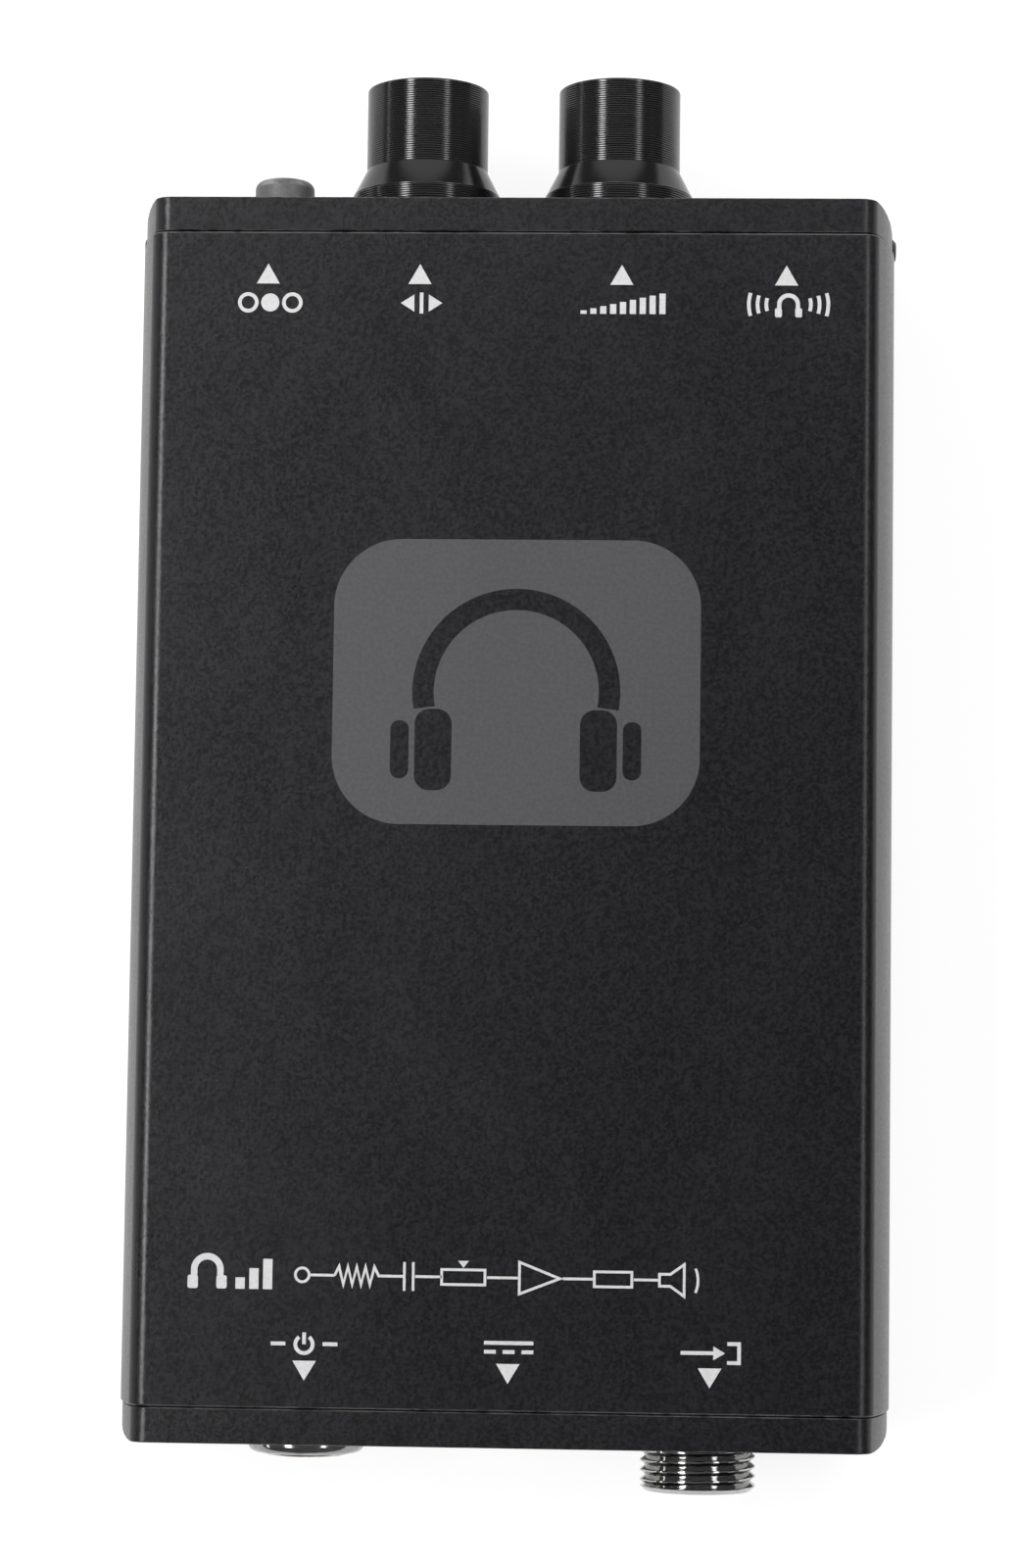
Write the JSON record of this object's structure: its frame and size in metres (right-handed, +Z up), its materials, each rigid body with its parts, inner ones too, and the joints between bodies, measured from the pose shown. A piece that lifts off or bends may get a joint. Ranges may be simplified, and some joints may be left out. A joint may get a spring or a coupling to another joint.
{
  "type": "headphone amplifier",
  "caption": "Pocket headphone amplifier: flat bow-sided black case, two turned knobs and a push button at one end, power button and threaded input at the other.",
  "frame": {"origin": "centre of the case's flat underside", "axes": "+Y towards the knobs, +Z up through the printed top face, +X to the right seen from above with the knobs away from the viewer"},
  "size_m": [0.0804, 0.1481, 0.026],
  "materials": {
    "case": "black satin powder coat on aluminium, fine grain",
    "cap": "black satin moulding",
    "black_screw": "black oxide",
    "inner_plastic": "plain black moulding",
    "battery": "printed metal jacket",
    "lead": "insulated wire",
    "board": "green solder mask",
    "plated": "nickel plated",
    "chip": "moulded epoxy",
    "capacitor_sleeve": "shrunk sleeve",
    "film_box": "potted box",
    "pot_body": "plated body",
    "knob": "black gloss, fine turned lines",
    "white_mark": "white paint",
    "button_grey": "mid grey moulding",
    "white_plastic": "natural nylon",
    "nickel": "bright nickel plate",
    "gold": "gold flash"
  },
  "bodies": {
    "case": {"upper_cover": "case", "lower_cover": "case", "knob_end_cap": "cap", "input_end_cap": "cap", "cap_screws": "black_screw", "side_screws": "black_screw", "battery_tray": "inner_plastic", "battery": "battery", "battery_snap": "inner_plastic", "battery_leads": "lead", "circuit_board": "board", "board_screws": "plated", "op_amps": "chip", "electrolytic_capacitors": "capacitor_sleeve", "film_capacitors": "film_box", "voltage_regulator": "chip", "resistors": "chip", "pan_pot": "pot_body", "volume_pot": "pot_body", "pot_washers": "plated", "pot_nuts": "plated", "mono_switch": "white_plastic", "power_bezel": "nickel", "power_nut": "plated", "power_switch": "inner_plastic", "phones_jack": "inner_plastic", "phones_collar": "nickel", "phones_contacts": "gold", "dc_jack": "inner_plastic", "dc_jack_pin": "plated", "input_connector_shell": "nickel", "input_insert": "inner_plastic", "input_contacts": "gold"},
    "pan": {"pan_knob": "knob", "pan_pointer": "white_mark", "pan_shaft": "plated"},
    "volume": {"volume_knob": "knob", "volume_pointer": "white_mark", "volume_shaft": "plated"},
    "mono": {"mono_button": "button_grey", "mono_plunger": "white_plastic"},
    "power": {"power_button": "nickel", "power_stem": "white_plastic"},
    "door": {"battery_door": "cap"}
  },
  "joints": [
    {"name": "pan_turn", "type": "hinge", "parent": "case", "child": "pan", "pos_m": [-0.01, 0.07, 0.013], "axis": [0, 1, 0], "range_deg": [-140, 140]},
    {"name": "volume_turn", "type": "hinge", "parent": "case", "child": "volume", "pos_m": [0.0106, 0.07, 0.013], "axis": [0, 1, 0], "range_deg": [-140, 140]},
    {"name": "mono_press", "type": "slide", "parent": "case", "child": "mono", "axis": [0, -1, 0], "range_m": [0, 0.002], "stiffness_N_per_m": 400},
    {"name": "power_press", "type": "slide", "parent": "case", "child": "power", "axis": [0, 1, 0], "range_m": [0, 0.0012], "stiffness_N_per_m": 500},
    {"name": "door_slide", "type": "slide", "parent": "case", "child": "door", "axis": [0, -1, 0], "range_m": [0, 0.046]}
  ]
}
